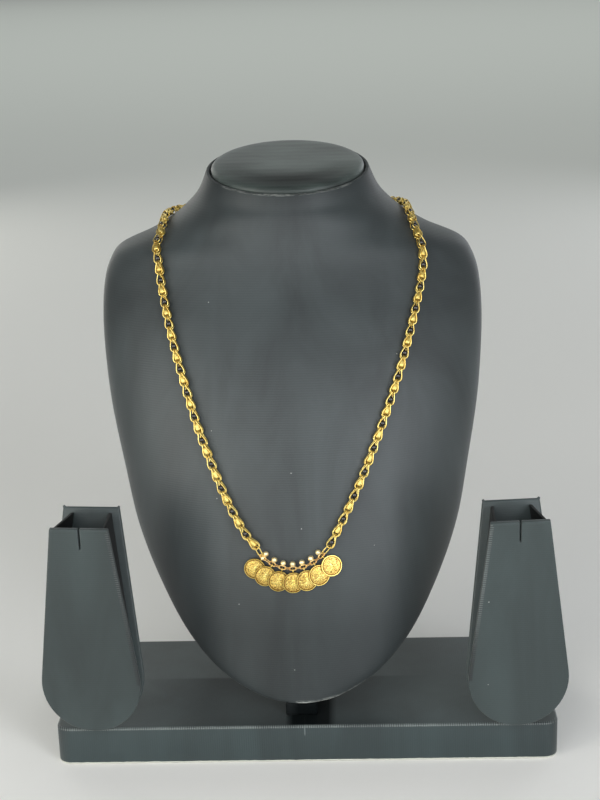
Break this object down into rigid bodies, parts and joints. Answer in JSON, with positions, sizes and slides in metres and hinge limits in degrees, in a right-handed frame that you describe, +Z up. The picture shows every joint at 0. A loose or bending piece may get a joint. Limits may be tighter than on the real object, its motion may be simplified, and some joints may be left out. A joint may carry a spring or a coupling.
{
  "type": "mangalsutra gold coin necklace on a neck bust display stand",
  "caption": "Gold loop-link chain with black glass beads and gold barrels, hung with a fan of overlapping relief coins, worn on a black neck bust stand with two earring holders.",
  "frame": {"origin": "middle of the bounding box, on the base's underside", "axes": "+Z up from the base to the neck, -Y out of the chest towards the viewer, +X to the viewer's right, so to the bust's left"},
  "size_m": [0.2872, 0.2084, 0.3218],
  "materials": {
    "gold": "polished bright yellow gold",
    "black_glass": "glossy opaque black glass",
    "black_leatherette": "satin, fine level ribbed grain"
  },
  "bodies": {
    "root": {"base": "black_leatherette", "black_beads_left": "black_glass", "black_beads_right": "black_glass", "bust": "black_leatherette", "chain_left": "gold", "chain_right": "gold", "clasp_hook": "gold", "clasp_ring_left": "gold", "clasp_ring_right": "gold", "coin_1": "gold", "coin_2": "gold", "coin_3": "gold", "coin_4": "gold", "coin_5": "gold", "coin_6": "gold", "coin_7": "gold", "connector_1": "gold", "connector_2": "gold", "connector_3": "gold", "connector_4": "gold", "connector_5": "gold", "connector_6": "gold", "connector_7": "gold", "gold_barrels_left": "gold", "gold_barrels_right": "gold", "holder_left_back": "black_leatherette", "holder_left_front": "black_leatherette", "holder_left_gusset": "black_leatherette", "holder_right_back": "black_leatherette", "holder_right_front": "black_leatherette", "holder_right_gusset": "black_leatherette", "joint_ring_1": "gold", "joint_ring_2": "gold", "joint_ring_3": "gold", "joint_ring_4": "gold", "joint_ring_5": "gold", "joint_ring_6": "gold", "jump_ring_left": "gold", "jump_ring_right": "gold", "neck_pad": "black_leatherette", "support_block": "black_leatherette"}
  },
  "joints": []
}
